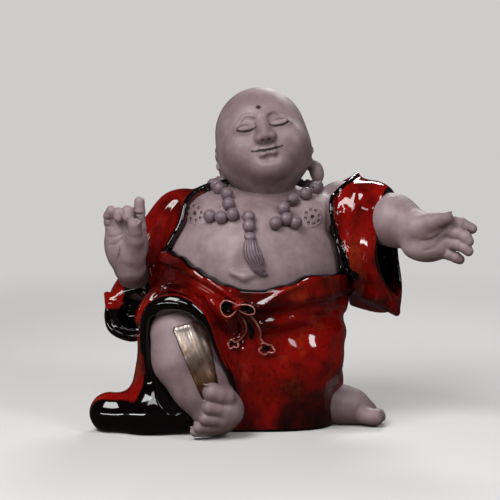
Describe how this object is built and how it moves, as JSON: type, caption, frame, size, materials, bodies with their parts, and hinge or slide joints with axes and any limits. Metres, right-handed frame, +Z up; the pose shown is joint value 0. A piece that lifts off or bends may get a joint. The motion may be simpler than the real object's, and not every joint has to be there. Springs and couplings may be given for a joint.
{
  "type": "seated laughing buddha statue",
  "caption": "Seated, big-bellied monk figure in bare and red-glazed clay, one knee raised, one hand up and one held out, with a bead necklace.",
  "frame": {"origin": "middle of the bounding box's bottom face, on the surface that the statue stands on", "axes": "+Z up, -Y the way the figure faces, +X towards the figure's left hand"},
  "size_m": [0.2052, 0.0984, 0.1829],
  "materials": {
    "bare_clay": "unglazed fired clay, fine grained, grey mauve",
    "red_glaze": "thick glossy red glaze, mottled, black where it thins at edges",
    "gilding": "worn satin gilding over clay",
    "dark_clay": "darker unglazed clay, lightly burnished"
  },
  "bodies": {
    "root": {"torso": "bare_clay", "head": "bare_clay", "ear_right": "bare_clay", "ear_left": "bare_clay", "right_arm": "bare_clay", "left_arm": "bare_clay", "right_leg": "bare_clay", "left_foot": "bare_clay", "gilt_shin_band": "gilding", "skirt": "red_glaze", "jacket_back": "red_glaze", "jacket_front_right": "red_glaze", "jacket_front_left": "red_glaze", "sleeve_right": "red_glaze", "sleeve_left": "red_glaze", "bow_knot": "red_glaze", "bow_loop_right": "red_glaze", "bow_loop_left": "red_glaze", "bow_tail_right": "red_glaze", "bow_tail_left": "red_glaze", "tail_knot_right": "red_glaze", "tail_knot_left": "red_glaze", "tassel_cap": "dark_clay", "tassel": "dark_clay", "bead_01": "dark_clay", "bead_02": "dark_clay", "bead_03": "dark_clay", "bead_04": "dark_clay", "bead_05": "dark_clay", "bead_06": "dark_clay", "bead_07": "dark_clay", "bead_08": "dark_clay", "bead_09": "dark_clay", "bead_10": "dark_clay", "bead_11": "dark_clay", "bead_12": "dark_clay", "bead_13": "dark_clay", "bead_14": "dark_clay", "bead_15": "dark_clay", "bead_16": "dark_clay", "bead_17": "dark_clay", "bead_18": "dark_clay", "bead_19": "dark_clay", "bead_20": "dark_clay", "bead_21": "dark_clay", "bead_22": "dark_clay", "bead_23": "dark_clay", "bead_24": "dark_clay", "bead_25": "dark_clay", "bead_26": "dark_clay", "bead_27": "dark_clay", "bead_28": "dark_clay"}
  },
  "joints": []
}
